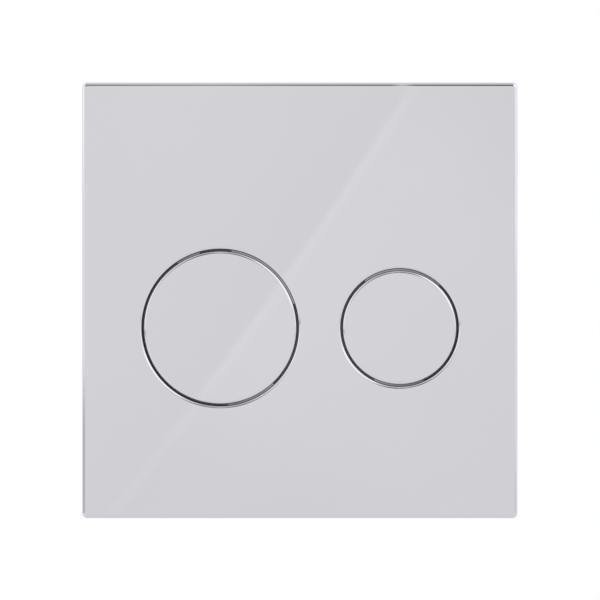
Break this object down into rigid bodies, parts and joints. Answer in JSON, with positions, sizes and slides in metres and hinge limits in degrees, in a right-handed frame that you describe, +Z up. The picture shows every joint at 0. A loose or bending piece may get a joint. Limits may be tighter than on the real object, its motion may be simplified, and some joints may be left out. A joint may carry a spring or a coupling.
{
  "type": "flush button plate",
  "caption": "Square chrome dual flush plate with a large and a small round push button, sprung plungers, push rods and a wall mounting frame.",
  "frame": {"origin": "centre of the square plate on the wall surface", "axes": "+Y into the wall, +Z up, +X to the right as seen from the room, the front faces -Y"},
  "size_m": [0.16, 0.074, 0.16],
  "materials": {
    "chrome_plating": "bright chrome on plastic",
    "white_abs": "moulded, satin",
    "grey_abs": "moulded, satin",
    "white_acetal": "moulded, waxy",
    "zinc_plated_steel": "zinc plated",
    "spring_steel": "drawn wire",
    "black_rubber": "matt"
  },
  "bodies": {
    "plate": {"front_plate": "chrome_plating", "button_carrier": "white_abs", "full_flush_pot": "white_abs", "half_flush_pot": "white_abs", "carrier_screws": "zinc_plated_steel", "mounting_frame": "grey_abs", "fixing_studs": "zinc_plated_steel", "fixing_washers": "zinc_plated_steel", "fixing_thumb_nuts": "white_acetal", "full_flush_spring": "spring_steel", "half_flush_spring": "spring_steel"},
    "full_flush": {"full_flush_button": "chrome_plating", "full_flush_plunger": "white_acetal", "full_flush_push_rod": "white_acetal", "full_flush_lock_nut": "white_acetal", "full_flush_retaining_clip": "spring_steel", "full_flush_buffer": "black_rubber"},
    "half_flush": {"half_flush_button": "chrome_plating", "half_flush_plunger": "white_acetal", "half_flush_push_rod": "white_acetal", "half_flush_lock_nut": "white_acetal", "half_flush_retaining_clip": "spring_steel", "half_flush_buffer": "black_rubber"}
  },
  "joints": [
    {"name": "full_flush_press", "type": "slide", "parent": "plate", "child": "full_flush", "axis": [0, 1, 0], "range_m": [0, 0.006], "stiffness_N_per_m": 900, "springref_m": -0.004, "deforming": ["full_flush_spring"]},
    {"name": "half_flush_press", "type": "slide", "parent": "plate", "child": "half_flush", "axis": [0, 1, 0], "range_m": [0, 0.006], "stiffness_N_per_m": 900, "springref_m": -0.004, "deforming": ["half_flush_spring"]}
  ]
}
